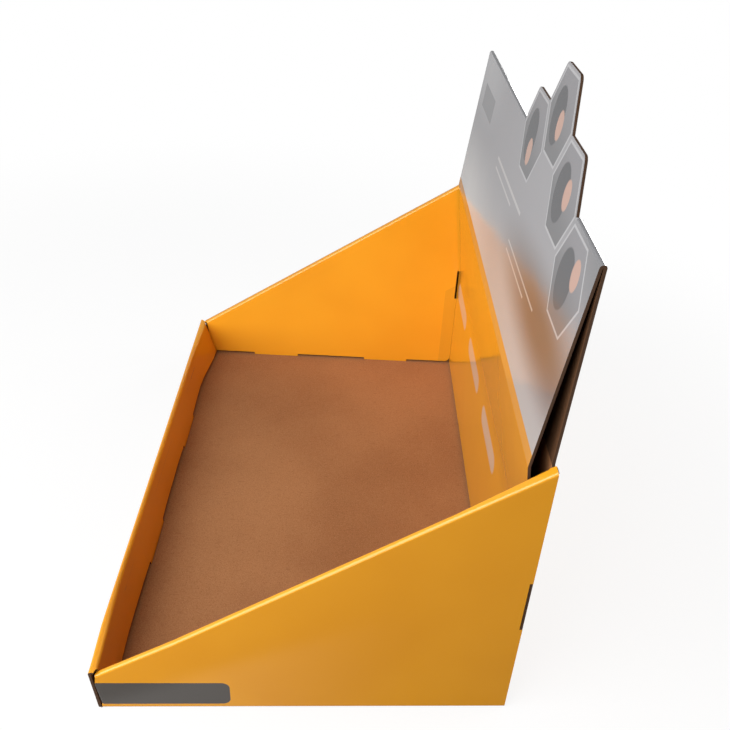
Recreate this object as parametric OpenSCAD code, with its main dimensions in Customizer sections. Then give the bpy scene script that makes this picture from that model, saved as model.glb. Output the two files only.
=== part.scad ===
// Product display box: an open tray with a low front, sloping sides and a tall printed header, folded from one
// sheet of thin corrugated board. +X is the shopper's right, +Y the back, +Z up.
// The origin is the middle of the tray's underside.

/* [Tray] */
// Width of the tray over its side walls
tray_w = 400; // [320:5:520]
// Depth of the side walls
tray_d = 250; // [200:5:320]
// Height of the front wall
front_h = 35; // [28:1:60]
// Height of the side walls at the back
back_h = 200; // [170:5:260]
// How far the front wall leans outward at its top
front_lean = 3.4; // [0:0.1:4]
// Distance of the front's inner wall from the outer wall at the floor
front_foot = 5; // [4.5:0.1:12]
// Angle at which the inner side walls lean into the tray below their rims
side_lean = 2; // [0:0.1:3]

/* [Board] */
// Thickness of the board
board = 1.6; // [1.2:0.1:2.2]
// Radius on the inside of a fold
crease_r = 0.1; // [0.05:0.05:0.3]
// Room between layers that lie inside one another
layer_gap = 0.85; // [0.5:0.05:1.5]
// Clearance round tabs, ears and cut ends
slip = 0.3; // [0.2:0.05:0.5]

/* [Header] */
// Height of the top fold above the side walls
header_rise = 112; // [80:1:150]
// How far the header's back panel leans back at the fold
header_lean = 3; // [0:0.5:8]
// Gap between the two panels inside the top fold
fold_gap = 0.4; // [0.3:0.1:1]
// Gap between the inner side walls and the side edges of the header and the inner back wall
header_gap = 0.5; // [0.3:0.1:4]
// Depth of the crease below the top of the side walls
crease_drop = 5; // [2:1:20]
// How far the crease stands in front of the back
crease_out = 14; // [10:0.5:24]
// Height at which the inner back wall starts to slope forward
slope_start = 112; // [112:1:130]

/* [Hexagon tabs] */
// Side of a hexagon
hex_side = 30.5; // [20:0.5:36]
// Corner radius of a hexagon
hex_r = 5; // [2:0.5:8]
// Gap from the hexagon place nearest the edge to the header's right edge
hex_edge_gap = 3.5; // [1:0.5:20]

/* [Tabs, ears and flaps] */
// Length of a floor tab
tab_l = 43; // [20:1:55]
// Distance of a side wall's tabs from the middle of its depth
side_tab_y = 55.5; // [35:0.5:65]
// Distance of the front wall's tabs from the middle of its width
front_tab_x = 65; // [40:1:110]
// Corner cut of the inner side walls at the floor
corner_cut = 5; // [2:0.5:8]
// Gap between the lower edges of the inner walls and the floor
foot_gap = 2.2; // [0.3:0.1:3]
// Height of the notches beside the inner ears
ear_h = 30; // [20:1:34]
// Depth of those notches
ear_notch = 2; // [0.5:0.1:4]
// Height of the notches and corner slots above the table
ear_z = 77; // [40:1:78]
// Height of the slots at the back corners, which take the ears of the outer back wall
corner_slot_h = 40; // [20:1:50]
// Length of the corner flaps
flap_l = 60; // [30:1:90]

/* [Hidden] */
$fn = 48;
bend_steps = 4;
print_yellow = [0.93, 0.60, 0.10];

half_w = tray_w / 2;
half_d = tray_d / 2;
reach = tray_w + tray_d + back_h + header_rise;
fold_r = board / 2 + crease_r;
rim_w = 3 * board + 2 * layer_gap;
inner_x = half_w - rim_w;
lap = 4 * board;

// Side walls, drawn in Y and Z
side_front = -half_d + slip;
side_slope = (back_h - front_h) / tray_d;
slope_angle = atan(side_slope);
rim_drop = board / cos(slope_angle);
rim_out = [half_w - board / 2, -board / 2];
rim_in = [inner_x + board / 2, -board / 2];
rim_mid = (rim_out + rim_in) / 2;
inner_foot_z = board + foot_gap;
tab_end_z = slip;

corner_slot_y = half_d - board - slip;

// Front wall, along the middle of the board
front_bottom = [-half_d - board / 2, board / 2];
front_top = [front_bottom[0] - front_lean, front_h - board / 2];
front_rim_in = front_top + [rim_w - board, 0];
front_inner_foot = [-half_d + front_foot - board / 2, inner_foot_z];

// Back wall and header, along the middle of the board
header_half = inner_x - lean_in(half_d, slope_start) - header_gap;
crease_z = back_h - crease_drop;
back_y = half_d - board / 2;
inner_back_y = back_y - board - slip;
inner_side_back = inner_back_y - board / 2 - slip;
fold_z = back_h + header_rise - board / 2;
back_half = half_w - board - slip;
back_bottom = [back_y, board / 2];
shoulder = [back_y, under_rim(half_d - board)];
back_top = [back_y, back_h];
fold_back = [back_y + header_lean, fold_z];
fold_front = fold_back - [board + fold_gap, 0];
crease = [half_d - crease_out + board / 2, crease_z];
slope_point = [inner_back_y, slope_start];
inner_back_foot = [inner_back_y, inner_foot_z];
panel_h = norm(fold_front - crease);
panel_lean = atan2(fold_front[0] - crease[0], fold_front[1] - crease[1]);

// Centre of a hexagon place on the header's front panel, counted from the right edge, measured from the crease
hex_rise = hex_side * sin(60);
function hex_x(k) = header_half - hex_edge_gap - hex_side - 1.5 * hex_side * k;
hex_tabs = [[hex_x(1), panel_h], [hex_x(2), panel_h + hex_rise], [hex_x(3), panel_h]];
hex_notches = concat(hex_tabs, [[hex_x(2), panel_h - hex_rise]]);

// Height of the side walls' top at a place along the depth
function side_top(y) = front_h + side_slope * (y + half_d);
// Height at a place along the depth that clears the underside of the side walls' rims
function under_rim(y) = side_top(y) - rim_drop - slip;
// How far an inner side wall stands in from its rim at a place along the depth and a height
function lean_in(y, z) = tan(side_lean) * ((side_top(y) - z) * cos(slope_angle) - board / 2);
// Depth at which the front edge of the inner side walls stands, along the front's inner wall
function inner_front(z) = front_inner_foot[0] + board / 2 + layer_gap
    + (front_rim_in[0] - front_inner_foot[0]) * (z - inner_foot_z) / (front_rim_in[1] - inner_foot_z);

// Direction from p to q, and a direction turned a quarter to the left
function heading(p, q) = (q - p) / norm(q - p);
function left_of(d) = [-d[1], d[0]];
// A vector turned by an angle
function turned(v, a) = [v[0] * cos(a) - v[1] * sin(a), v[0] * sin(a) + v[1] * cos(a)];
// Angle of the fold at q, positive to the left
function fold_angle(p, q, r) =
    let (a = heading(p, q), b = heading(q, r))
    atan2(a[0] * b[1] - a[1] * b[0], a * b);
// Points round the fold at q, on the left face of the board (side 1) or the right face (side -1)
function fold_points(p, q, r, side) =
    let (
        d = heading(p, q),
        a = fold_angle(p, q, r),
        start = q - fold_r * tan(abs(a) / 2) * d,
        centre = start + sign(a) * fold_r * left_of(d),
        arm = (side * board / 2 - sign(a) * fold_r) * left_of(d)
    )
    [for (k = [0 : bend_steps]) centre + turned(arm, a * k / bend_steps)];
// One face of a board that is folded along a path
function face(path, side) =
    let (last = len(path) - 1, offset = side * board / 2)
    concat(
        [path[0] + offset * left_of(heading(path[0], path[1]))],
        [for (i = [1 : 1 : last - 1]) each fold_points(path[i - 1], path[i], path[i + 1], side)],
        [path[last] + offset * left_of(heading(path[last - 1], path[last]))]
    );
function reversed(list) = [for (i = [len(list) - 1 : -1 : 0]) list[i]];

// Section of a board that is folded along a path
module strip(path) {
    polygon(concat(face(path, 1), reversed(face(path, -1))));
}

// A shape drawn in Y and Z, drawn out along X
module along_x(x0, x1) {
    translate([x0, 0, 0])
        rotate([90, 0, 90])
            linear_extrude(x1 - x0)
                children();
}

// A shape drawn in X and Z, drawn out along Y, far past both ends of the tray
module along_y() {
    translate([0, reach, 0])
        rotate([90, 0, 0])
            linear_extrude(2 * reach)
                children();
}

module both_sides() {
    children();
    mirror([1, 0, 0])
        children();
}

// Outline of the outer side wall, open at its back edge for the corner slot
module outer_side_shape() {
    difference() {
        polygon([
            [side_front, 0],
            [half_d, 0],
            [half_d, side_top(half_d) + board],
            [side_front, side_top(side_front) + board]
        ]);
        translate([corner_slot_y, ear_z])
            square([2 * board, corner_slot_h]);
    }
}

// Outline of a side wall's rim
module side_rim_shape() {
    polygon([
        [side_front, side_top(side_front) + board],
        [side_front, side_top(side_front) - rim_drop],
        [half_d, side_top(half_d) - rim_drop],
        [half_d, side_top(half_d) + board]
    ]);
}

// Outline of the inner side wall, with cut corners, floor tabs and the notch beside the ear
module inner_side_shape() {
    cut_z = inner_foot_z + corner_cut;
    front_top_y = inner_front(front_h);
    difference() {
        polygon([
            [inner_front(cut_z), cut_z],
            [inner_front(inner_foot_z) + corner_cut, inner_foot_z],
            [inner_side_back - corner_cut, inner_foot_z],
            [inner_side_back, cut_z],
            [inner_side_back, side_top(inner_side_back) + board],
            [front_top_y, side_top(front_top_y) + board]
        ]);
        translate([inner_side_back - ear_notch, ear_z])
            square([ear_notch + board, ear_h]);
    }
    for (y = [-side_tab_y, side_tab_y])
        translate([y - tab_l / 2, tab_end_z])
            square([tab_l, inner_foot_z + corner_cut]);
}

// A board folded along a path, drawn across a side wall and up from its top, all along the slope of the rim
module down_slope(path) {
    translate([0, -half_d, front_h])
        rotate([slope_angle, 0, 0])
            along_y()
                strip(path);
}

// Flap at the front edge of a side wall, inside the front wall
module front_flap() {
    flap_top = front_h - 2 * board;
    lean = 0.6 * front_lean;
    along_x(half_w - flap_l, half_w)
        polygon([
            [side_front, inner_foot_z],
            [side_front + board, inner_foot_z],
            [side_front + board - lean, flap_top],
            [side_front - lean, flap_top]
        ]);
}

// Flap at the end of the outer back wall, inside the side wall
module back_flap() {
    along_x(back_half - board, back_half)
        polygon([
            [half_d - flap_l, inner_foot_z],
            [half_d, inner_foot_z],
            [half_d, shoulder[1]],
            [half_d - board, shoulder[1]],
            [half_d - flap_l, under_rim(half_d - flap_l)]
        ]);
}

module side_wall() {
    intersection() {
        down_slope([rim_out - [0, reach], rim_out, rim_mid]);
        along_x(0, reach)
            outer_side_shape();
    }
    intersection() {
        down_slope([rim_mid, rim_in, rim_in - reach * [sin(side_lean), cos(side_lean)]]);
        along_x(0, reach) {
            side_rim_shape();
            inner_side_shape();
        }
    }
    front_flap();
}

// Rim and inner wall of the front, which clear the side walls
module front_rim_and_inner() {
    tab_down = heading(front_rim_in, front_inner_foot);
    tab_end = front_inner_foot - tab_down * (inner_foot_z - tab_end_z) / tab_down[1];
    difference() {
        along_x(-half_w + slip, half_w - slip)
            strip([(front_bottom + front_top) / 2, front_top, front_rim_in, front_inner_foot]);
        both_sides()
            translate([inner_x - layer_gap, side_front - slip, board])
                cube([reach, reach, reach]);
    }
    for (x = [-front_tab_x, front_tab_x])
        along_x(x - tab_l / 2, x + tab_l / 2)
            strip([front_inner_foot - tab_down * board, tab_end]);
}

// Lays a shape, drawn across the header and up from its crease, on the middle of the header's front panel
module on_front_panel(depth) {
    translate([0, crease[0], crease[1]])
        rotate([90 - panel_lean, 0, 0])
            linear_extrude(depth)
                children();
}

module rounded_hexagon(side) {
    core = side - hex_r / cos(30);
    polygon([
        for (a = [0 : 60 : 300])
            for (d = [-30, 30])
                core * [cos(a), sin(a)] + hex_r * [cos(a + d), sin(a + d)]
    ]);
    for (a = [0 : 60 : 300])
        translate(core * [cos(a), sin(a)])
            circle(hex_r);
}

// Hexagons at some places, and the web that joins the tabs to each other and to the panel
module hexagons(places, side) {
    for (p = places)
        translate(p)
            rounded_hexagon(side);
    polygon([hex_tabs[0] - [0, hex_r], hex_tabs[0], hex_tabs[1], hex_tabs[2], hex_tabs[2] - [0, hex_r]]);
}

// Header and inner back wall: the sheet goes on up the back, over the top fold, down the front and to the floor
module header_and_inner_back() {
    difference() {
        along_x(-header_half, header_half)
            strip([shoulder - [0, lap], back_top, fold_back, fold_front, crease, slope_point, inner_back_foot]);
        translate([0, reach * cos(panel_lean), -reach * sin(panel_lean)])
            translate(board / 2 * [0, cos(panel_lean), -sin(panel_lean)])
                on_front_panel(reach)
                    hexagons(hex_notches, hex_side + slip);
    }
    translate(board / 2 * [0, cos(panel_lean), -sin(panel_lean)])
        on_front_panel(board)
            hexagons(hex_tabs, hex_side);
    both_sides()
        along_x(header_half - board, inner_x + board + layer_gap)
            translate([inner_back_y - board / 2, ear_z + slip])
                square([board, ear_h - 2 * slip]);
}

// Slots in the base for the floor tabs
module tab_slots() {
    slot_w = board + 2 * slip;
    slot_l = tab_l + 2 * slip;
    for (y = [-side_tab_y, side_tab_y])
        both_sides()
            translate([inner_x - slip, 0, -board])
                linear_extrude(3 * board)
                    polygon([
                        for (e = [y - slot_l / 2, y + slot_l / 2]) [-lean_in(e, 0), e],
                        for (e = [y + slot_l / 2, y - slot_l / 2]) [slot_w - lean_in(e, 0), e]
                    ]);
    for (x = [-front_tab_x, front_tab_x])
        translate([x - slot_l / 2, front_inner_foot[0] - board / 2 - slip, -board])
            cube([slot_l, slot_w + slip, 3 * board]);
}

// Outer front wall and base, right across the tray
module base_and_front() {
    difference() {
        along_x(-half_w, half_w)
            strip([front_top, front_bottom, back_bottom]);
        tab_slots();
    }
}

// Outer back wall between the side walls, with its flaps, and its ears in the corner slots
module outer_back() {
    difference() {
        union() {
            along_x(-back_half, back_half)
                strip([back_bottom - [lap, 0], back_bottom, shoulder]);
            both_sides()
                back_flap();
        }
        both_sides()
            translate([back_half - board - slip, inner_back_y - board / 2 - slip, ear_z])
                cube([2 * rim_w, 2 * rim_w, corner_slot_h]);
    }
    both_sides()
        along_x(back_half - lap, half_w - slip)
            translate([half_d - board, ear_z + slip])
                square([board, corner_slot_h - 2 * slip]);
}

// Rounds the folds between the base and the side walls
module base_round() {
    along_y() {
        for (x = [-half_w + board, half_w - board])
            translate([x, board])
                circle(board);
        translate([-half_w + board, 0])
            square([tray_w - 2 * board, board]);
        translate([-half_w, board])
            square([tray_w, reach]);
    }
}

module folded_display_box() {
    color(print_yellow)
        intersection() {
            base_round();
            union() {
                base_and_front();
                outer_back();
                both_sides()
                    side_wall();
                front_rim_and_inner();
                header_and_inner_back();
            }
        }
}

folded_display_box();
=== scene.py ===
"""Product display box: a tray with a low front, sloping sides and a tall header, folded from one sheet."""

import math

import bmesh
import bpy
from mathutils import Matrix, Vector


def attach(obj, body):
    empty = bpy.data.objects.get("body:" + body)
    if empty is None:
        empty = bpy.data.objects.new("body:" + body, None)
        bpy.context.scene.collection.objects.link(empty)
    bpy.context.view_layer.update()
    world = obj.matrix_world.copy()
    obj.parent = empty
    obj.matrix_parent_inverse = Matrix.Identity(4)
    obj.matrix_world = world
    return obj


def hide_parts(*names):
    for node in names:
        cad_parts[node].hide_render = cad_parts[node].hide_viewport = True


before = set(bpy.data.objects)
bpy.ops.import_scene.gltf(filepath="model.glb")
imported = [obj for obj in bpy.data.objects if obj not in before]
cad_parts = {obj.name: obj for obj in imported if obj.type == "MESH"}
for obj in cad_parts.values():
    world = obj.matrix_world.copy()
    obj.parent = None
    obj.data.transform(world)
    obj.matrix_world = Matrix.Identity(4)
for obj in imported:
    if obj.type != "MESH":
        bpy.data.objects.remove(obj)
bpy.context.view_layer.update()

# All sizes are in millimetres. A point within NEAR is in a place, or within LOOSE once it has been moved.
MM = 0.001
NEAR = 0.02
LOOSE = 1.0

# Board. The sheet is drawn along the middle of its thickness.
BOARD = 1.6
HALF = BOARD / 2
SLIP = 0.3
LAYER_GAP = 0.85
FOLD_R = 0.9
CORNER_R = 5.0
ROUND_STEPS = 4

# Tray
HALF_W = 200.0
HALF_D = 125.0
FRONT_H = 35.0
BACK_H = 200.0
FRONT_LEAN = 3.4
FRONT_FOOT = 5.0
FOOT_GAP = 2.2
BACK_GAP = 0.1
SPARE_H = 20.0
INNER_LEAN = math.radians(2)
RIM_W = 3 * BOARD + 2 * LAYER_GAP
RISE = (BACK_H - FRONT_H) / (2 * HALF_D)
SLOPE = math.atan(RISE)
RIM_DROP = BOARD / math.cos(SLOPE)
MID_DROP = HALF / math.cos(SLOPE)
LEAN_IN = math.tan(INNER_LEAN) * math.cos(SLOPE)

# Places of the walls' middle planes, and of their ends
BASE_Z = HALF
FOOT_Z = BOARD + FOOT_GAP
TAB_END_Z = SLIP
SIDE_X = HALF_W - HALF
INNER_FACE = HALF_W - RIM_W
INNER_X = INNER_FACE + HALF
SIDE_FRONT = -HALF_D + SLIP
SIDE_SLOT_Y = HALF_D - BOARD - SLIP
FRONT_Y = -HALF_D - HALF
FRONT_TOP_Y = FRONT_Y - FRONT_LEAN
FRONT_TOP_Z = FRONT_H - HALF
FRONT_RIM_Y = FRONT_TOP_Y + RIM_W - BOARD
FRONT_FOOT_Y = -HALF_D + FRONT_FOOT - HALF
FRONT_END = INNER_FACE - LAYER_GAP
BACK_Y = HALF_D - HALF
BACK_END = HALF_W - BOARD - SLIP - HALF
INNER_BACK_Y = BACK_Y - BOARD - SLIP
INNER_SIDE_BACK = INNER_BACK_Y - HALF - BACK_GAP

# Header, with its top fold, the crease at its foot, and the bend where the inner back wall turns upright
HEADER_H = 112.0
HEADER_LEAN = 3.0
HEADER_GAP = 0.5
FOLD_GAP = 0.4
CREASE_IN = 14.0
CREASE_DROP = 5.0
BEND_Z = 112.0
BEND_L = 12.0
BEND_STEPS = 6
HEADER_X = INNER_FACE - LEAN_IN * (BACK_H - MID_DROP - BEND_Z) - HEADER_GAP
FOLD_TOP_Z = BACK_H + HEADER_H - HALF
FOLD_BACK_Y = BACK_Y + HEADER_LEAN
FOLD_FRONT_Y = FOLD_BACK_Y - BOARD - FOLD_GAP
CREASE_Y = HALF_D - CREASE_IN + HALF
CREASE_Z = BACK_H - CREASE_DROP
PANEL_LEAN = math.atan2(FOLD_FRONT_Y - CREASE_Y, FOLD_TOP_Z - CREASE_Z)
PANEL_H = math.hypot(FOLD_FRONT_Y - CREASE_Y, FOLD_TOP_Z - CREASE_Z)

# Hexagons: a row of four places from the header's right edge, of which the last three stand above the fold
HEX = 30.5
HEX_H = HEX * math.sin(math.radians(60))
HEX_R = 5.0
HEX_GAP = 3.5
HEX_X = [HEADER_X - HEX_GAP - HEX - 1.5 * HEX * k for k in range(4)]
TABS_LEFT = HEX_X[3] - HEX
TABS_RIGHT = HEX_X[1] + HEX
TOP_TAB_X = HEX_X[2]
OPEN_BACK_Z = BACK_H + 50

# Tabs, ears and flaps
TAB_L = 43.0
SLOT_L = TAB_L + 2 * SLIP
SIDE_TAB_Y = 55.5
FRONT_TAB_X = 65.0
SIDE_SLOT = (SIDE_TAB_Y - SLOT_L / 2, SIDE_TAB_Y + SLOT_L / 2)
FRONT_SLOT = (FRONT_TAB_X - SLOT_L / 2, FRONT_TAB_X + SLOT_L / 2)
EAR_Z = 77.0
EAR_H = 30.0
EAR_NOTCH = 2.0
CORNER_SLOT_H = 40.0
BACK_FLAP_L = 60.0
BACK_FLAP_DROP = 32.0
FRONT_FLAP_L = 24.0
FRONT_FLAP_TOP = 22.0
FRONT_FLAP_TILT = 2.0

# How the right side wall's rim is bent: pressed down, lifted again at its front end, and rolled tighter
PRESS = 4.6
PRESS_START_Y = 105.0
PRESS_RUN = 185.0
LIFT = 1.1
LIFT_RUN = (80.0, 125.0)
SIDE_ROLL = 2.4
SIDE_ROLL_RUN = (90.0, 122.0)

# How the front is bent, at places across it: the top pulled in, the rim rolled, and a waving, bulging foot
FRONT_BENDS = (22.0, FRONT_TAB_X, 108.0, 130.0, 150.0, 165.0, 178.0, 187.0)
PULL = 0.05
END_PULL = 1.4
END_PULL_RUN = (160.0, 200.0)
ROLL_IN = 3.1
ROLL_DOWN = 1.0
ROLL_RUN = (125.0, 205.0)
WAVE = 0.4
HALF_WAVE_L = 65.0
WAVE_END = 130.0
BULGE = {-1: 5.7, 1: 2.0}
BULGE_RUN = {-1: (130.0, 190.0), 1: (150.0, 195.0)}
BULGE_REACH = 7.0
FOOT_IN = 1.25
INNER_TOP_MOVE = {-1: (0, -0.5, 0), 1: (4.2, 0.1, 0)}
RIM_END_MOVE = {-1: (3.5, -0.9, 0), 1: (0, -0.9, 0)}

# Left and right, and the ways that a panel is cut
SIDES = (-1, 1)
ACROSS = (1, 0, 0)
BACKWARDS = (0, 1, 0)
UPWARDS = (0, 0, 1)


def mm(x, y, z):
    """A place or a move in millimetres, in Blender's metres."""
    return Vector((x, y, z)) * MM


def near(a, b):
    return abs(a - b) < NEAR


def between(a, low, high):
    return low - NEAR <= a <= high + NEAR


def side_top(y):
    """Height of the side walls' upper edge at a depth."""
    return FRONT_H + RISE * (y + HALF_D)


def under_rim(y):
    return side_top(y) - RIM_DROP - SLIP


def lean_in(y, z):
    """How far an inner side wall stands in from its rim at a depth and a height."""
    return LEAN_IN * (side_top(y) - MID_DROP - z)


def ease(a, start, end):
    """0 up to start and 1 from end on, with a soft change between."""
    t = min(max((a - start) / (end - start), 0), 1)
    return t * t * (3 - 2 * t)


def pick(kind, test):
    """Selects the points, edges or faces all of whose points pass a test on x, y and z in millimetres."""
    bpy.ops.mesh.select_mode(type=kind)
    bpy.ops.mesh.select_all(action="DESELECT")
    mesh = bmesh.from_edit_mesh(bpy.context.object.data)
    items = {"VERT": mesh.verts, "EDGE": mesh.edges, "FACE": mesh.faces}[kind]
    found = 0
    for item in items:
        points = [item] if kind == "VERT" else item.verts
        if all(test(*(p.co / MM)) for p in points):
            item.select_set(True)
            found += 1
    mesh.select_flush_mode()
    bmesh.update_edit_mesh(bpy.context.object.data)
    if not found:
        raise ValueError("nothing found to select")


def pick_at(x, y, z):
    """Selects the points at one place."""
    pick("VERT", lambda px, py, pz: near(px, x) and near(py, y) and near(pz, z))


def fold_up(*move):
    """Folds a new panel off the selected edges, and leaves its far edge selected."""
    bpy.ops.mesh.extrude_edges_move(TRANSFORM_OT_translate={"value": mm(*move)})


def shift(*move):
    bpy.ops.transform.translate(value=mm(*move))


def stretch(scale, centre):
    bpy.ops.transform.resize(value=scale, center_override=mm(*centre))


def score(point, normal, trim=False):
    """Cuts the selected panels along a plane, and can trim off what lies on the normal's side of it."""
    plane = {"plane_co": mm(*point), "plane_no": Vector(normal).normalized()}
    bpy.ops.mesh.bisect(**plane, clear_outer=trim)


def score_faces(test, point, normal, trim=False):
    pick("FACE", test)
    score(point, normal, trim)


def drop_faces(test):
    pick("FACE", test)
    bpy.ops.mesh.delete(type="FACE")


def lay_base():
    """The base panel, cut along the lines where walls, slots and tabs begin, with its slots open."""
    bpy.ops.object.select_all(action="DESELECT")
    bpy.ops.mesh.primitive_plane_add(size=1)
    sheet = bpy.context.object
    bpy.ops.object.mode_set(mode="EDIT")
    bpy.ops.transform.resize(value=(2 * SIDE_X * MM, (BACK_Y - FRONT_Y) * MM, 1))
    shift(0, (BACK_Y + FRONT_Y) / 2, BASE_Z)
    front_slot_y = (FRONT_FOOT_Y - HALF - SLIP, FRONT_FOOT_Y + HALF + 2 * SLIP)
    for y in (SIDE_FRONT, *front_slot_y, *SIDE_SLOT, *[-y for y in SIDE_SLOT]):
        bpy.ops.mesh.select_all(action="SELECT")
        score((0, y, 0), BACKWARDS)
    for side in SIDES:
        for x in (*FRONT_SLOT, *FRONT_BENDS, FRONT_END):
            score_faces(lambda px, py, pz: py < front_slot_y[1] + NEAR, (side * x, 0, 0), ACROSS)
        for x in (HEADER_X, BACK_END):
            score_faces(lambda px, py, pz: py > SIDE_SLOT[1] - NEAR, (side * x, 0, 0), ACROSS)
    for side in SIDES:
        for end in SIDES:
            cut_side_floor_slot(side, end)
    drop_faces(lambda x, y, z: between(abs(x), *FRONT_SLOT) and between(y, *front_slot_y))
    for side in SIDES:
        pick("VERT", lambda x, y, z: near(x, side * SIDE_X) and near(y, FRONT_Y))
        shift(side * HALF, 0, 0)
        pick("VERT", lambda x, y, z: near(x, side * SIDE_X) and near(y, BACK_Y))
        shift(0, HALF, 0)
    return sheet


def cut_side_floor_slot(side, end):
    """A slot for a side wall's tab. It slants, because the wall leans in more where it is tall."""
    slot = (INNER_FACE - SLIP, INNER_FACE + BOARD + SLIP)

    def by_tab(x, y, z):
        return between(end * y, *SIDE_SLOT)

    def in_slot(x, y, z):
        return by_tab(x, y, z) and between(side * x + lean_in(y, z), *slot)

    for x in slot:
        score_faces(by_tab, (side * (x - lean_in(0, BASE_Z)), 0, 0), (side, LEAN_IN * RISE, 0))
    drop_faces(in_slot)


def fold_side(side):
    """A side wall: the outer wall, its flat sloping rim and the leaning inner wall."""

    def on_outer(x, y, z):
        return near(x, side * SIDE_X)

    def on_inner(x, y, z):
        return near(side * x, INNER_X - lean_in(y, z))

    def on_top(x, y, z):
        return near(z, side_top(y) - MID_DROP)

    def on_rim_or_inner(x, y, z):
        return on_inner(x, y, z) or (on_top(x, y, z) and between(side * x, INNER_X, SIDE_X))

    # The panels are folded taller than they are, and trimmed to the slope and to the foot
    tall = BACK_H + SPARE_H
    pick("EDGE", lambda x, y, z: on_outer(x, y, z) and y > SIDE_FRONT - NEAR)
    fold_up(0, 0, tall)
    slope_normal = (0, -math.sin(SLOPE), math.cos(SLOPE))
    score_faces(on_outer, (0, -HALF_D, FRONT_H - MID_DROP), slope_normal, trim=True)
    pick("EDGE", lambda x, y, z: on_outer(x, y, z) and on_top(x, y, z))
    fold_up(side * (INNER_X - SIDE_X), 0, 0)
    fold_up(-side * LEAN_IN * tall, 0, -tall)
    score_faces(on_inner, (0, 0, FOOT_Z), (0, 0, -1), trim=True)

    trim_inner_side(on_inner, on_rim_or_inner)
    add_side_tabs(side, on_inner)
    cut_back_slot(on_inner, INNER_SIDE_BACK - EAR_NOTCH, EAR_H)
    cut_back_slot(on_outer, SIDE_SLOT_Y, CORNER_SLOT_H)
    add_front_flap(side, on_outer)
    if side > 0:
        bend_side_rim(on_top)


def trim_inner_side(on_inner, on_rim_or_inner):
    """Cuts an inner side wall off behind the front's inner wall and before the inner back wall."""
    score_faces(on_rim_or_inner, (0, INNER_SIDE_BACK, 0), BACKWARDS)
    drop_faces(lambda x, y, z: on_inner(x, y, z) and y > INNER_SIDE_BACK - NEAR)
    run = FRONT_FOOT_Y - FRONT_RIM_Y
    fall = FRONT_TOP_Z - FOOT_Z
    edge_y = FRONT_RIM_Y + HALF + LAYER_GAP

    def before_edge(x, y, z):
        return on_inner(x, y, z) and (y - edge_y) * fall < (FRONT_TOP_Z - z) * run + NEAR

    score_faces(on_rim_or_inner, (0, edge_y, FRONT_TOP_Z), (0, -fall, -run))
    drop_faces(before_edge)
    for corner_y in (edge_y + run, INNER_SIDE_BACK):
        pick("VERT", lambda x, y, z: on_inner(x, y, z) and near(y, corner_y) and near(z, FOOT_Z))
        bpy.ops.mesh.bevel(offset=CORNER_R * MM, segments=ROUND_STEPS, affect="VERTICES")


def add_side_tabs(side, on_inner):
    """The floor tabs at the foot of an inner side wall."""
    drop = FOOT_Z - TAB_END_Z
    for tab_y in (-SIDE_TAB_Y, SIDE_TAB_Y):

        def on_tab_root(x, y, z):
            return on_inner(x, y, z) and near(z, FOOT_Z) and abs(y - tab_y) < SLOT_L / 2 + NEAR

        pick("EDGE", on_tab_root)
        fold_up(-side * LEAN_IN * drop, 0, -drop)
        stretch((1, TAB_L / SLOT_L, 1), (0, tab_y, 0))


def cut_back_slot(on_wall, edge_y, height):
    """An opening at the back edge of a side wall, for an ear."""

    def in_slot(x, y, z):
        return on_wall(x, y, z) and y > edge_y - NEAR and between(z, EAR_Z, EAR_Z + height)

    for z in (EAR_Z, EAR_Z + height):
        score_faces(on_wall, (0, 0, z), UPWARDS)
    score_faces(on_wall, (0, edge_y, 0), BACKWARDS)
    drop_faces(in_slot)


def add_front_flap(side, on_outer):
    """The flap at the front edge of an outer side wall, between the two walls of the front."""
    for z in (FOOT_Z, FRONT_FLAP_TOP):
        score_faces(on_outer, (0, 0, z), UPWARDS)

    def on_root(x, y, z):
        return on_outer(x, y, z) and y < SIDE_FRONT + LOOSE and between(z, FOOT_Z, FRONT_FLAP_TOP)

    def on_flap_top(x, y, z):
        return near(y, SIDE_FRONT + HALF) and near(z, FRONT_FLAP_TOP) and side * x > 0

    pick("VERT", on_root)
    shift(0, HALF, 0)
    pick("EDGE", on_root)
    fold_up(-side * FRONT_FLAP_L, 0, 0)
    pick("VERT", on_flap_top)
    shift(0, -FRONT_FLAP_TILT, 0)


def bend_side_rim(on_top):
    """The right side wall's rim is pressed down a little towards the front, and rolled tighter."""

    def on_rim(x, y, z):
        return on_top(x, y, z) and between(x, INNER_X, SIDE_X)

    mesh = bmesh.from_edit_mesh(bpy.context.object.data)
    points = [point.co / MM for point in mesh.verts]
    for across, depth in sorted({(round(p.x, 2), round(p.y, 2)) for p in points if on_rim(*p)}):
        press = PRESS * min(max((PRESS_START_Y - depth) / PRESS_RUN, 0), 1)
        lift = LIFT * ease(-depth, *LIFT_RUN)
        roll = SIDE_ROLL * (1 - ease(depth, *SIDE_ROLL_RUN)) if near(across, INNER_X) else 0
        pick("VERT", lambda x, y, z: on_rim(x, y, z) and near(x, across) and near(y, depth))
        shift(roll, 0, lift - press)


def on_front_rim(x, y, z):
    return near(y, FRONT_RIM_Y) and near(z, FRONT_TOP_Z)


def on_front_foot(x, y, z):
    return near(y, FRONT_FOOT_Y) and near(z, FOOT_Z)


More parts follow.
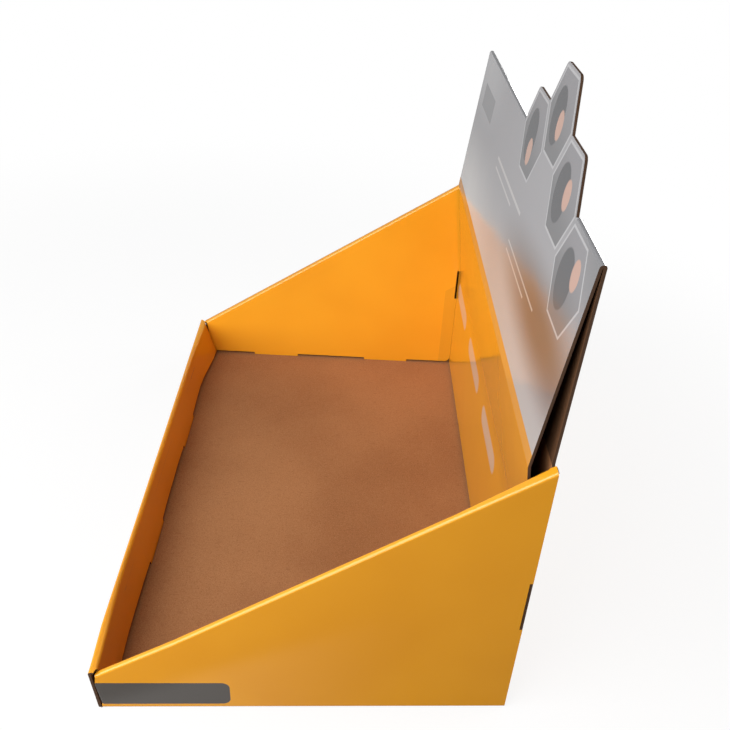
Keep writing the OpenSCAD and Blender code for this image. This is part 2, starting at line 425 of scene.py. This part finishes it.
def fold_front():
    """The front: the leaning outer wall, its rolled rim and the inner wall with its floor tabs."""
    run = FRONT_FOOT_Y - FRONT_RIM_Y
    fall = FRONT_TOP_Z - FOOT_Z
    drop = FOOT_Z - TAB_END_Z
    pick("EDGE", lambda x, y, z: near(y, FRONT_Y) and near(z, BASE_Z))
    fold_up(0, -FRONT_LEAN, FRONT_TOP_Z - BASE_Z)
    fold_up(0, FRONT_RIM_Y - FRONT_TOP_Y, 0)
    pick("EDGE", lambda x, y, z: on_front_rim(x, y, z) and abs(x) < FRONT_END + NEAR)
    fold_up(0, run, -fall)
    for tab_x in (-FRONT_TAB_X, FRONT_TAB_X):
        pick("EDGE", lambda x, y, z: on_front_foot(x, y, z) and abs(x - tab_x) < SLOT_L / 2 + NEAR)
        fold_up(0, run / fall * drop, -drop)
        stretch((TAB_L / SLOT_L, 1, 1), (tab_x, 0, 0))
    for side in SIDES:
        bend_front(side)


def bend_front(side):
    """Half of the front: its rim is rolled tight towards the middle, and the inner wall's foot bulges."""
    for at in (*FRONT_SLOT, *FRONT_BENDS, FRONT_END, HALF_W):
        pick_at(side * at, FRONT_TOP_Y, FRONT_TOP_Z)
        shift(0, PULL + END_PULL * ease(side * at, *END_PULL_RUN), 0)
        if at == HALF_W:
            continue
        pick_at(side * at, FRONT_RIM_Y, FRONT_TOP_Z)
        tight = 1 - ease(at, *ROLL_RUN)
        shift(0, -ROLL_IN * tight, -ROLL_DOWN * tight)
        pick_at(side * at, FRONT_FOOT_Y, FOOT_Z)
        wave = -WAVE * (1 + math.cos(math.pi * min(at, WAVE_END) / HALF_WAVE_L))
        shift(0, wave + BULGE[side] * ease(at, *BULGE_RUN[side]), 0)

    def at_inner_top(x, y, z):
        return near(x, side * FRONT_END) and z > FRONT_TOP_Z - LOOSE and y > FRONT_RIM_Y - LOOSE

    def at_inner_foot(x, y, z):
        return near(x, side * FRONT_END) and near(z, FOOT_Z) and y < FRONT_FOOT_Y + BULGE_REACH

    pick("VERT", at_inner_top)
    shift(*INNER_TOP_MOVE[side])
    pick("VERT", at_inner_foot)
    shift(-side * FOOT_IN, 0, 0)
    pick_at(side * HALF_W, FRONT_RIM_Y, FRONT_TOP_Z)
    shift(*RIM_END_MOVE[side])


def on_back(x, y, z):
    """Points of the outer back wall."""
    return near(y, BACK_Y)


def on_header(x, y, z):
    """Points of the header's front panel, fold and back panel."""
    return abs(x) < HEADER_X + NEAR and z > CREASE_Z - NEAR and y > CREASE_Y - NEAR


def fold_back():
    """The outer back wall, the header, and the inner back wall that bends down to its foot."""
    shoulder = under_rim(HALF_D - BOARD)
    pick("EDGE", lambda x, y, z: on_back(x, y, z) and near(z, BASE_Z) and abs(x) < BACK_END + NEAR)
    fold_up(0, 0, shoulder - BASE_Z)
    add_back_ears_and_flaps(shoulder)
    pick("EDGE", lambda x, y, z: on_back(x, y, z) and near(z, shoulder) and abs(x) < HEADER_X + NEAR)
    fold_up(0, 0, BACK_H - shoulder)
    fold_up(0, FOLD_BACK_Y - BACK_Y, FOLD_TOP_Z - BACK_H)
    fold_up(0, FOLD_FRONT_Y - FOLD_BACK_Y, 0)
    fold_up(0, CREASE_Y - FOLD_FRONT_Y, CREASE_Z - FOLD_TOP_Z)
    fold_up(0, INNER_BACK_Y - CREASE_Y, BEND_Z - CREASE_Z)
    fold_up(0, 0, FOOT_Z - BEND_Z)
    pick("EDGE", lambda x, y, z: near(y, INNER_BACK_Y) and near(z, BEND_Z))
    bpy.ops.mesh.bevel(offset=BEND_L * MM, segments=BEND_STEPS, affect="EDGES")
    add_inner_ears()


def add_back_ears_and_flaps(shoulder):
    """Ears of the outer back wall in the corner slots, and flaps above and below them."""
    slot_top = EAR_Z + CORNER_SLOT_H
    slot_x = BACK_END - BOARD
    ear = (EAR_Z + SLIP, slot_top - SLIP)
    for z in (FOOT_Z, EAR_Z, *ear, slot_top):
        score_faces(on_back, (0, 0, z), UPWARDS)
    for side in SIDES:
        score_faces(on_back, (side * slot_x, 0, 0), ACROSS)
    drop_faces(lambda x, y, z: on_back(x, y, z) and abs(x) > slot_x - NEAR and between(z, EAR_Z, slot_top))
    for side in SIDES:
        pick("EDGE", lambda x, y, z: on_back(x, y, z) and near(x, side * slot_x) and between(z, *ear))
        fold_up(side * (HALF_W - SLIP - slot_x), 0, 0)
    flap_y = HALF_D - BACK_FLAP_L
    for side in SIDES:
        for part in ((FOOT_Z, EAR_Z), (slot_top, shoulder)):

            def on_flap_root(x, y, z):
                return on_back(x, y, z) and near(x, side * BACK_END) and between(z, *part)

            pick("EDGE", on_flap_root)
            fold_up(0, flap_y - BACK_Y, 0)
        pick_at(side * BACK_END, flap_y, shoulder)
        shift(0, 0, under_rim(flap_y) - shoulder - BACK_FLAP_DROP)


def add_inner_ears():
    """Ears of the inner back wall, in the notches of the inner side walls."""

    def on_inner_back(x, y, z):
        return between(y, CREASE_Y, INNER_BACK_Y) and abs(x) < HEADER_X + NEAR and z < CREASE_Z + NEAR

    ear = (EAR_Z + SLIP, EAR_Z + EAR_H - SLIP)
    ear_l = INNER_FACE + BOARD + LAYER_GAP - HEADER_X
    for z in ear:
        score_faces(on_inner_back, (0, 0, z), UPWARDS)
    for side in SIDES:

        def on_ear_root(x, y, z):
            return on_inner_back(x, y, z) and near(x, side * HEADER_X) and between(z, *ear)

        pick("EDGE", on_ear_root)
        fold_up(side * ear_l, 0, 0)


def grow_hexagon_tabs():
    """The hexagon tabs above the top fold: two low ones, and a taller one between them."""
    middle = (TOP_TAB_X - HEX / 2, TOP_TAB_X + HEX / 2)
    for x in (TABS_LEFT, *middle, TABS_RIGHT):
        score_faces(on_header, (x, 0, 0), ACROSS)
    up = Vector((0, math.sin(PANEL_LEAN), math.cos(PANEL_LEAN))) * HEX_H

    def grow(x0, x1, *widths):
        pick("EDGE", lambda x, y, z: between(x, x0, x1) and near(y, FOLD_FRONT_Y) and near(z, FOLD_TOP_Z))
        for width in widths:
            fold_up(*up)
            stretch((width, 1, 1), ((x0 + x1) / 2, 0, 0))

    def at_corner(x, y, z):
        low_corner = near(x, HEX_X[3] - HEX / 2) or near(x, HEX_X[1] + HEX / 2)
        top_corner = near(abs(x - TOP_TAB_X), HEX / 2)
        on_low_tab = near(z, FOLD_TOP_Z + up.z)
        on_top_tab = near(z, FOLD_TOP_Z + 2 * up.z)
        return (on_low_tab and low_corner) or (on_top_tab and top_corner)

    grow(TABS_LEFT, middle[0], 0.5)
    grow(middle[1], TABS_RIGHT, 0.5)
    grow(*middle, 2, 0.5)
    bpy.ops.mesh.select_all(action="SELECT")
    bpy.ops.mesh.remove_doubles(threshold=NEAR * MM)
    pick("VERT", at_corner)
    corner_l = HEX_R * math.tan(math.radians(30))
    bpy.ops.mesh.bevel(offset=corner_l * MM, segments=ROUND_STEPS, affect="VERTICES")


def cut_tab_notch():
    """The notch that the tabs leave in the header's back panel: their outline, turned down."""
    back_lean = math.atan2(FOLD_BACK_Y - BACK_Y, FOLD_TOP_Z - BACK_H)
    down = Vector((0, -math.sin(back_lean), -math.cos(back_lean)))
    across = Vector(ACROSS)
    half = HEX / 2
    fold_point = Vector((0, FOLD_BACK_Y, FOLD_TOP_Z))

    def on_back_panel(x, y, z):
        panel_y = FOLD_BACK_Y + (FOLD_TOP_Z - z) * down.y / -down.z
        return z > BACK_H - NEAR and y > BACK_Y - NEAR and near(y, panel_y)

    def in_notch(x, y, z):
        if near(z, FOLD_TOP_Z) and y > FOLD_FRONT_Y - NEAR:
            return between(x, TABS_LEFT, TABS_RIGHT)
        if not on_back_panel(x, y, z):
            return False
        depth = (FOLD_TOP_Z - z) / -down.z
        low_in = half * depth / HEX_H
        top_in = half * (depth - HEX_H) / HEX_H
        in_low = depth < HEX_H + NEAR and between(x, TABS_LEFT + low_in, TABS_RIGHT - low_in)
        in_top = between(depth, HEX_H, 2 * HEX_H) and abs(x - TOP_TAB_X) <= HEX - top_in + NEAR
        return in_low or in_top

    for depth in (HEX_H, 2 * HEX_H):
        score_faces(on_back_panel, fold_point + down * depth, down)
    for x, depth, turn in (
        (TABS_LEFT, 0, 1),
        (TOP_TAB_X - HEX, HEX_H, 1),
        (TABS_RIGHT, 0, -1),
        (TOP_TAB_X + HEX, HEX_H, -1),
    ):
        normal = across * HEX_H - down * half * turn
        score_faces(on_back_panel, fold_point + down * depth + across * x, normal)
    drop_faces(in_notch)


def turn_print_outwards(sheet):
    """Joins the panels into one sheet whose printed side faces down under the base."""
    bpy.ops.mesh.select_all(action="SELECT")
    bpy.ops.mesh.remove_doubles(threshold=NEAR * MM)
    bpy.ops.mesh.normals_make_consistent(inside=False)
    mesh = bmesh.from_edit_mesh(sheet.data)
    floor_face = min(mesh.faces, key=lambda f: f.calc_center_median().length)
    if floor_face.normal.z > 0:
        bpy.ops.mesh.flip_normals()


def lay_finishes(sheet):
    """Two printed finishes, then the bare finish behind each, then the cut edge of each."""
    edge = cut_edge()
    # the header's bare side gets painted shade, the dark of its hollow
    inside = [bare_board("bare_floor"), bare_board("bare_hollow", 0.7)]
    for finish in (yellow_print(), header_print(), *inside, edge, edge):
        sheet.data.materials.append(finish)
    pick("FACE", on_header)
    sheet.active_material_index = 1
    bpy.ops.object.material_slot_assign()


def press_flat(test, scale, centre):
    """Presses the points that stand past a plane back onto it."""
    pick("VERT", test)
    stretch(scale, centre)


def thicken(sheet):
    """Rounds the folds, gives the board its thickness, and marks how deep each point lies in it."""
    folds = sheet.modifiers.new("folds", "BEVEL")
    folds.width = FOLD_R * MM
    folds.segments = ROUND_STEPS
    folds.use_clamp_overlap = False
    folds.limit_method = "ANGLE"
    folds.angle_limit = math.radians(10)
    bpy.ops.object.modifier_apply(modifier="folds")
    bare_side = sheet.vertex_groups.new(name="bare_side")
    board = sheet.modifiers.new("board", "SOLIDIFY")
    board.thickness = BOARD * MM
    board.offset = 0
    board.use_even_offset = True
    board.material_offset = 2
    board.material_offset_rim = 4
    board.shell_vertex_group = bare_side.name
    bpy.ops.object.modifier_apply(modifier="board")
    bpy.ops.object.mode_set(mode="EDIT")
    press_flat(lambda x, y, z: x > HALF_W, (0, 1, 1), (HALF_W, 0, 0))
    press_flat(lambda x, y, z: x < -HALF_W, (0, 1, 1), (-HALF_W, 0, 0))
    press_flat(lambda x, y, z: z < 0, (1, 1, 0), (0, 0, 0))
    bpy.ops.object.mode_set(mode="OBJECT")
    bpy.ops.object.shade_smooth_by_angle(angle=math.radians(30))
    weight = sheet.modifiers.new("weight", "WEIGHTED_NORMAL")
    weight.keep_sharp = True
    bpy.ops.object.modifier_apply(modifier="weight")
    depth = sheet.data.attributes.new("depth", "FLOAT", "POINT")
    for point in sheet.data.vertices:
        on_bare = any(g.group == bare_side.index and g.weight > 0.5 for g in point.groups)
        depth.data[point.index].value = 1.0 if on_bare else 0.0


def fold_sheet():
    """The whole sheet, folded up, with the board's thickness and its own finish on each side."""
    sheet = lay_base()
    for side in SIDES:
        fold_side(side)
    fold_front()
    fold_back()
    grow_hexagon_tabs()
    cut_tab_notch()
    turn_print_outwards(sheet)
    lay_finishes(sheet)
    bpy.ops.object.mode_set(mode="OBJECT")
    sheet.name = "folded_board"
    sheet.data.name = "folded_board"
    thicken(sheet)
    return sheet


class Value:
    """A number or colour that changes over a surface. Maths on it adds nodes to its finish."""

    def __init__(self, finish, socket):
        self.finish = finish
        self.socket = socket

    def maths(self, operation, *terms):
        return self.finish.node("ShaderNodeMath", {"operation": operation}, dict(enumerate(terms)))

    def __add__(self, other):
        return self.maths("ADD", self, other)

    def __sub__(self, other):
        return self.maths("SUBTRACT", self, other)

    def __mul__(self, other):
        return self.maths("MULTIPLY", self, other)

    def __truediv__(self, other):
        return self.maths("DIVIDE", self, other)

    def __rsub__(self, other):
        return self.maths("SUBTRACT", other, self)

    def __abs__(self):
        return self.maths("ABSOLUTE", self)

    def __gt__(self, other):
        return self.maths("GREATER_THAN", self, other)

    def __lt__(self, other):
        return self.maths("LESS_THAN", self, other)

    __radd__ = __add__
    __rmul__ = __mul__

    def most(self, other):
        return self.maths("MAXIMUM", self, other)

    def floor(self):
        return self.maths("FLOOR", self)

    def sine(self):
        return self.maths("SINE", self)

    def root(self):
        return self.maths("SQRT", self)

    def fade(self, start, end):
        """0 at start and 1 at end, with a soft change between."""
        return self.finish.node(
            "ShaderNodeMapRange",
            {"interpolation_type": "SMOOTHSTEP"},
            {"Value": self, "From Min": start, "From Max": end},
        )


class Finish:
    """A material, or the surround, and its nodes."""

    def __init__(self, block):
        block.use_nodes = True
        self.block = block
        self.tree = block.node_tree
        self.tree.nodes.clear()

    def node(self, kind, settings=None, inputs=None, output=0):
        """Adds a node: its settings are set first, and then the values or links of its sockets."""
        node = self.tree.nodes.new(kind)
        for name, value in (settings or {}).items():
            setattr(node, name, value)
        for name, value in (inputs or {}).items():
            if isinstance(value, Value):
                self.tree.links.new(value.socket, node.inputs[name])
            else:
                node.inputs[name].default_value = value
        return Value(self, node.outputs[output]) if node.outputs else None

    def place(self):
        """Object coordinates, and their x, y and z in millimetres."""
        spot = self.node("ShaderNodeTexCoord", output=3)
        parts = self.node("ShaderNodeSeparateXYZ", inputs={0: spot}).socket.node.outputs
        return spot, *[Value(self, part) * 1000 for part in parts]

    def mix(self, factor, first, second):
        """Blends two colours."""
        colours = {6: first, 7: second}
        inputs = {k: v if isinstance(v, Value) else (*v, 1) for k, v in colours.items()}
        return self.node("ShaderNodeMix", {"data_type": "RGBA"}, {0: factor, **inputs}, output=2)

    def noise(self, spot, scale, detail=2.0, roughness=0.5):
        sockets = {"Vector": spot, "Scale": scale, "Detail": detail, "Roughness": roughness}
        return self.node("ShaderNodeTexNoise", inputs=sockets)

    def stretch(self, spot, x, y, z):
        return self.node("ShaderNodeMapping", inputs={"Vector": spot, "Scale": (x, y, z)})

    def bump(self, height, strength, distance):
        sockets = {"Height": height, "Strength": strength, "Distance": distance}
        return self.node("ShaderNodeBump", inputs=sockets)

    def surface(self, **sockets):
        """Ends a material with one surface shader, and gives the material back."""
        inputs = {name.replace("_", " "): value for name, value in sockets.items()}
        shader = self.node("ShaderNodeBsdfPrincipled", inputs=inputs)
        self.node("ShaderNodeOutputMaterial", inputs={"Surface": shader})
        return self.block

    def seen(self, mirrored):
        """1 where the camera looks straight at the surface, and less where it looks by reflection."""
        path = self.node("ShaderNodeLightPath")
        glossy = Value(self, path.socket.node.outputs["Is Glossy Ray"])
        return path.most(glossy * mirrored)


# Inks
YELLOW = (0.86, 0.365, 0.020)
YELLOW_DEEP = (0.81, 0.33, 0.017)
# painted shade for the inner back wall: a deeper yellow standing in for less light there
YELLOW_PAINTED_SHADE = (0.62, 0.28, 0.020)
AMBER_FOOT = (0.60, 0.28, 0.06)
BAND_GREY = (0.095, 0.085, 0.076)
FIELD_PALE = (0.60, 0.50, 0.42)
HEADER_GREY = (0.30, 0.295, 0.305)
HEADER_LOW_LEFT = (0.64, 0.63, 0.62)
HEADER_LOW_RIGHT = (0.42, 0.41, 0.40)
HEADER_BACK = (0.22, 0.22, 0.23)
# painted reflection on the header: a warm brown patch and a pale one
PAINTED_REFLECTION_BROWN = (0.15, 0.11, 0.09)
PAINTED_REFLECTION_PALE = (0.50, 0.50, 0.51)
# painted shade at the header's upper right edge
PAINTED_SHADE_GREY = (0.17, 0.17, 0.175)
BAR_PALE = (0.58, 0.56, 0.54)
TILE_GREY = (0.20, 0.20, 0.205)
HEX_LOW = (0.16, 0.16, 0.165)
HEX_HIGH = (0.23, 0.225, 0.235)
HEX_LINE = (0.44, 0.44, 0.45)
OVAL_DARK = (0.095, 0.095, 0.10)
OVAL_PEACH = (0.47, 0.30, 0.24)

# Papers
LINER_DEEP = (0.305, 0.133, 0.053)
LINER_WARM = (0.39, 0.182, 0.076)
SPECK_PALE = (0.53, 0.275, 0.132)
SPECK_DARK = (0.15, 0.062, 0.028)
FIBRE_BROWN = (0.22, 0.09, 0.04)
# painted shade inside the header's hollow
HOLLOW_PAINTED_SHADE = (0.02, 0.01, 0.006)
# painted shade in the hollows of the cut edge
EDGE_PAINTED_SHADE = (0.012, 0.008, 0.006)
EDGE_PAPER = (0.085, 0.046, 0.027)
EDGE_FUZZ = (0.05, 0.03, 0.02)

# Grey band round the front, and the row of pale fields on the inner back wall
BAND_Y = -127.0
BAND_Z = 14.5
BAND_HALF_L = 80.0
BAND_HALF_H = 10.5
BAND_R = 5.0
FIELD_START_X = -196.0
FIELD_PITCH = 96.0
FIELD_Z = 93.0
FIELD_HALF_L = 34.0
FIELD_HALF_H = 8.0

# Header print: heights up the panel of the grey fade and of the yellow foot, and the hexagons' outlines
GREY_FADE = (0, 75)
GREY_FADE_X = (-160, 20)
FOOT_END = (7.7, 8.1)
BACK_FOOT_END = (BACK_H + 2.5, BACK_H + 3.0)
LINE_IN = 2.3
LINE_HALF_W = 0.7
HEX_FILL = (-3.4, -2.8)

# Pale table top that the right side wall mirrors: a point on its end, and the way that the end faces
TABLE_X = 218.0
TABLE_Y = -85.0
TABLE_NORMAL = (0.94, -0.342)
TABLE_FADE_Y = (-70, 80)

# Flutes in the cut edge: their pitch, and their swing and the papers' places as shares of the thickness
FLUTE_PITCH = 1.6
FLUTE_SWING = 0.32
FLUTE_HALF = 0.09
LINER_START = 0.40


def laminate(finish, spot, colour):
    """Ends a print with its glossy film, which has faint smears, and a slow ripple of the board."""
    smear = finish.noise(spot, 35, detail=3)
    ripple = finish.noise(spot, 22, detail=1)
    grain = finish.noise(spot, 900)
    normal = finish.bump(ripple + grain * 0.012, strength=0.35, distance=0.0006)
    gloss = {"Roughness": 0.08 + smear * 0.08, "IOR": 1.5, "Specular_IOR_Level": 0.5}
    return finish.surface(Base_Color=colour, Normal=normal, **gloss)


def rounded(across, up, half_across, half_up, radius):
    """Distance outside a rectangle with rounded corners, less than 0 inside it."""
    dx = (abs(across) - (half_across - radius)).most(0)
    dy = (abs(up) - (half_up - radius)).most(0)
    return (dx * dx + dy * dy).root() - radius


def yellow_print():
    """Glossy yellow print with a plain grey band on the front and pale fields on the inner back wall."""
    finish = Finish(bpy.data.materials.new("yellow_print"))
    spot, x, y, z = finish.place()
    tone = finish.noise(spot, 9)
    colour = finish.mix(tone.fade(0.35, 0.7), YELLOW, YELLOW_DEEP)

    # The band lies low on the front, runs round the corners and ends with rounded corners on the sides
    band = 1 - rounded(y - BAND_Y, z - BAND_Z, BAND_HALF_L, BAND_HALF_H, BAND_R).fade(-0.25, 0.25)
    band = band * (abs(x) > HALF_W - 1).most(y < -HALF_D + 0.1)
    colour = finish.mix(band, colour, BAND_GREY)

    # The inner back wall gets painted shade, a deeper yellow standing in for less light on it, and the pale
    # fields are printed on it
    inner_back = (y > HALF_D - CREASE_IN - 1) * (y < BACK_Y - HALF - 0.2) * (abs(x) < HEADER_X)
    colour = finish.mix(inner_back * 0.5, colour, YELLOW_PAINTED_SHADE)
    turn = (x - FIELD_START_X) / FIELD_PITCH
    along = (turn - turn.floor() - 0.5) * FIELD_PITCH
    field = 1 - rounded(along, z - FIELD_Z, FIELD_HALF_L, FIELD_HALF_H, FIELD_HALF_H).fade(-1.5, 1.5)
    colour = finish.mix(field * inner_back * 0.75, colour, FIELD_PALE)
    return laminate(finish, spot, colour)


def header_print():
    """Grey header with soft patches of painted reflection and painted shade, pale outlines round the
    hexagons and plain shapes inside them.
    """
    finish = Finish(bpy.data.materials.new("header_print"))
    spot, x, y, z = finish.place()
    sin_lean = math.sin(PANEL_LEAN)
    cos_lean = math.cos(PANEL_LEAN)
    face_y = CREASE_Y - HALF
    up = (y - face_y) * sin_lean + (z - CREASE_Z) * cos_lean
    behind = (y - face_y) * cos_lean - (z - CREASE_Z) * sin_lean
    low = finish.mix(x.fade(*GREY_FADE_X), HEADER_LOW_LEFT, HEADER_LOW_RIGHT)
    colour = finish.mix(up.fade(*GREY_FADE), low, HEADER_GREY)

    def painted_light_patch(cx, cy, rx, ry):
        dx = (x - cx) / rx
        dy = (up - cy) / ry
        return 1 - (dx * dx + dy * dy).root().fade(0.1, 1.0)

    def bar(x0, x1, cy, half_h):
        edge = (abs(x - (x0 + x1) / 2) - (x1 - x0) / 2).most(abs(up - cy) - half_h)
        return 1 - edge.fade(-0.3, 0.3)

    # Painted reflection: a warm brown patch low on the right, where the orange far wall is mirrored, and a
    # pale patch at the upper left
    colour = finish.mix(painted_light_patch(135, 52, 150, 36), colour, PAINTED_REFLECTION_BROWN)
    colour = finish.mix(painted_light_patch(-190, 112, 130, 60) * 0.6, colour, PAINTED_REFLECTION_PALE)
    # Painted shade: a dark patch at the header's upper right edge
    colour = finish.mix(painted_light_patch(200, 122, 90, 60) * 0.8, colour, PAINTED_SHADE_GREY)
    high_bars = bar(-60, 40, 74, 1.1).most(bar(-60, 10, 67, 0.8))
    low_bars = bar(30, 120, 52, 0.7).most(bar(30, 95, 46, 0.7))
    colour = finish.mix(high_bars.most(low_bars) * 0.5, colour, BAR_PALE)
    colour = finish.mix(bar(-170, -118, 88, 9) * 0.75, colour, TILE_GREY)
    for k, hex_x in enumerate(HEX_X):
        hex_up = PANEL_H + HEX_H * (k - 1 if k < 3 else 0)
        colour = hexagon(finish, colour, x - hex_x, up - hex_up, k)

    # The fold and the back are plain grey, and yellow runs a little way up the foot on both sides
    rear = behind > 0.5
    colour = finish.mix(rear, colour, HEADER_BACK)
    foot = (1 - up.fade(*FOOT_END)) * (1 - rear)
    foot = foot.most((1 - z.fade(*BACK_FOOT_END)) * rear)
    colour = finish.mix(foot, colour, finish.mix(rear, AMBER_FOOT, YELLOW))
    return laminate(finish, spot, colour)


def hexagon(finish, colour, dx, dy, k):
    """Prints one hexagon about a point: a pale outline, a dark oval, and a peach one that moves with k."""
    gap = abs(dy).most(abs(dx) * math.sin(math.radians(60)) + abs(dy) * 0.5) - HEX_H

    def oval(cx, cy, rx, ry, soft):
        reach = (dx - cx) * (dx - cx) / rx**2 + (dy - cy) * (dy - cy) / ry**2
        return 1 - reach.root().fade(1 - soft, 1.0)

    shape = finish.mix((dy + dx * 0.3).fade(-20, 22), HEX_LOW, HEX_HIGH)
    shape = finish.mix(oval(-5, -1, 13, 17, 0.08), shape, OVAL_DARK)
    shape = finish.mix(oval(9 - 3 * k, 8 - 6 * k, 6.5, 9, 0.15), shape, OVAL_PEACH)
    colour = finish.mix(1 - gap.fade(*HEX_FILL), colour, shape)
    line = 1 - (abs(gap + LINE_IN) - LINE_HALF_W).fade(-0.25, 0.25)
    return finish.mix(line * 0.75, colour, HEX_LINE)


def bare_board(name, shade=0.0):
    """Bare brown liner: warm and cool patches, fine speckle and short fibres, and painted shade: darker by
    the given share, except on the tabs' backs.
    """
    finish = Finish(bpy.data.materials.new(name))
    spot, x, _, z = finish.place()
    patch = finish.noise(spot, 7, detail=3)
    colour = finish.mix(patch.fade(0.3, 0.7), LINER_DEEP, LINER_WARM)
    speck = finish.noise(spot, 1400, roughness=0.7)
    colour = finish.mix(speck.fade(0.52, 0.72) * 0.45, colour, SPECK_PALE)
    colour = finish.mix(speck.fade(0.48, 0.28) * 0.55, colour, SPECK_DARK)
    fibre = finish.noise(finish.stretch(spot, 1.0, 0.18, 1.0), 700)
    colour = finish.mix(fibre.fade(0.58, 0.75) * 0.3, colour, FIBRE_BROWN)

    # Painted shade darkens the rest of this liner, but the tabs' backs are out in the open and don't get it
    open_back = (x > TABS_LEFT) * (x < TABS_RIGHT) * (z > OPEN_BACK_Z)
    colour = finish.mix((1 - open_back) * shade, colour, HOLLOW_PAINTED_SHADE)
    normal = finish.bump(speck + fibre * 0.6, strength=0.25, distance=0.0002)
    paper = {"Roughness": 0.82 + fibre * 0.1, "IOR": 1.4, "Specular_IOR_Level": 0.25}
    return finish.surface(Base_Color=colour, Normal=normal, **paper)


def cut_edge():
    """Cut edge of the board: two liners with the wave of the flutes between them, and painted shade in the
    hollows.
    """
    finish = Finish(bpy.data.materials.new("cut_edge"))
    spot, x, y, z = finish.place()
    depth = finish.node("ShaderNodeAttribute", {"attribute_name": "depth"}, output=2)
    wave = ((x + y + z) * (2 * math.pi / FLUTE_PITCH)).sine() * FLUTE_SWING
    flute = 1 - (abs(depth - 0.5 - wave) - FLUTE_HALF).fade(-0.03, 0.03)
    liner = (abs(depth - 0.5) - LINER_START).fade(-0.02, 0.02)
    paper = flute.most(liner)
    fuzz = finish.noise(spot, 1200)
    # the hollows between the papers are painted near black, as painted shade
    colour = finish.mix(paper, EDGE_PAINTED_SHADE, EDGE_PAPER)
    colour = finish.mix(fuzz.fade(0.5, 0.8) * 0.4, colour, EDGE_FUZZ)
    normal = finish.bump(paper, strength=0.5, distance=0.0003)
    return finish.surface(Base_Color=colour, Roughness=0.9, Normal=normal, IOR=1.4, Specular_IOR_Level=0.2)


def set_stage():
    """A plain white floor that keeps a soft shadow, and a white surround that lights the box softly."""
    bpy.ops.object.select_all(action="DESELECT")
    bpy.ops.mesh.primitive_plane_add(size=12)
    floor = bpy.context.object
    floor.name = "floor"
    finish = Finish(bpy.data.materials.new("floor_white"))
    _, x, y, _ = finish.place()
    outside = (abs(x) / HALF_W).most(abs(y) / HALF_D).fade(0.97, 0.99)
    far_off = (x * x + y * y).root().fade(350, 900)

    past_end = (x - TABLE_X) * TABLE_NORMAL[0] + (y - TABLE_Y) * TABLE_NORMAL[1]
    table = (1 - past_end.fade(-8, 8)) * (1 - y.fade(*TABLE_FADE_Y)) * 0.42
    matt = finish.node("ShaderNodeBsdfDiffuse", inputs={"Color": (0.12, 0.12, 0.12, 1)})
    pale = finish.node("ShaderNodeBsdfDiffuse", inputs={"Color": (0.9, 0.9, 0.9, 1)})
    white = finish.node("ShaderNodeEmission")
    bright = finish.node("ShaderNodeMixShader", inputs={0: 0.86 + far_off * 0.14, 1: pale, 2: white})
    seen = finish.seen(table) * outside
    shader = finish.node("ShaderNodeMixShader", inputs={0: seen, 1: matt, 2: bright})
    finish.node("ShaderNodeOutputMaterial", inputs={"Surface": shader})
    floor.data.materials.append(finish.block)

    surround = Finish(bpy.data.worlds.new("surround"))
    bpy.context.scene.world = surround.block
    dim = surround.node("ShaderNodeBackground", inputs={"Color": (1, 1, 1, 1), "Strength": 0.07})
    white = surround.node("ShaderNodeBackground", inputs={"Color": (1, 1, 1, 1), "Strength": 1.0})
    shader = surround.node("ShaderNodeMixShader", inputs={0: surround.seen(0.4), 1: dim, 2: white})
    surround.node("ShaderNodeOutputWorld", inputs={"Surface": shader})


def add_softbox(name, place, aim, size, power):
    """A square lamp that looks at a point. Its places are in metres."""
    bpy.ops.object.light_add(type="AREA", location=place)
    lamp = bpy.context.object
    lamp.name = name
    lamp.data.shape = "SQUARE"
    lamp.data.size = size
    lamp.data.energy = power
    lamp.rotation_euler = (Vector(aim) - Vector(place)).to_track_quat("-Z", "Y").to_euler()


def set_camera():
    """The camera stands where the photograph was taken, off the box's right side, with a slight roll."""
    azimuth = math.radians(83.60)
    elevation = math.radians(34.04)
    roll = math.radians(5.72)
    place = mm(497.56, 16.72, 465.81)
    data = bpy.data.cameras.new("camera")
    camera = bpy.data.objects.new("camera", data)
    bpy.context.scene.collection.objects.link(camera)
    turn = Matrix.Rotation(azimuth, 4, "Z") @ Matrix.Rotation(math.radians(90) - elevation, 4, "X")
    turn = turn @ Matrix.Rotation(roll, 4, "Z")
    camera.matrix_world = Matrix.Translation(place) @ turn
    data.sensor_width = 36
    data.lens = 39.68
    data.shift_x = -0.0779
    data.shift_y = -0.0022
    data.clip_start = 0.01
    bpy.context.scene.camera = camera


set_camera()
set_stage()
add_softbox("key", place=(0.58, -0.68, 0.42), aim=(0, 0, 0.08), size=1.1, power=17)
add_softbox("top", place=(0.28, -0.40, 1.0), aim=(-0.1, 0, 0.08), size=0.8, power=4)
add_softbox("left_fill", place=(-1.1, 0.75, 0.22), aim=(0, 0, 0.1), size=0.6, power=10)
add_softbox("back_fill", place=(-0.25, 1.2, 0.22), aim=(0, 0, 0.15), size=0.8, power=14)
box = fold_sheet()
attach(box, "root")
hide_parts("folded_display_box")
bpy.context.scene.view_settings.view_transform = "Standard"
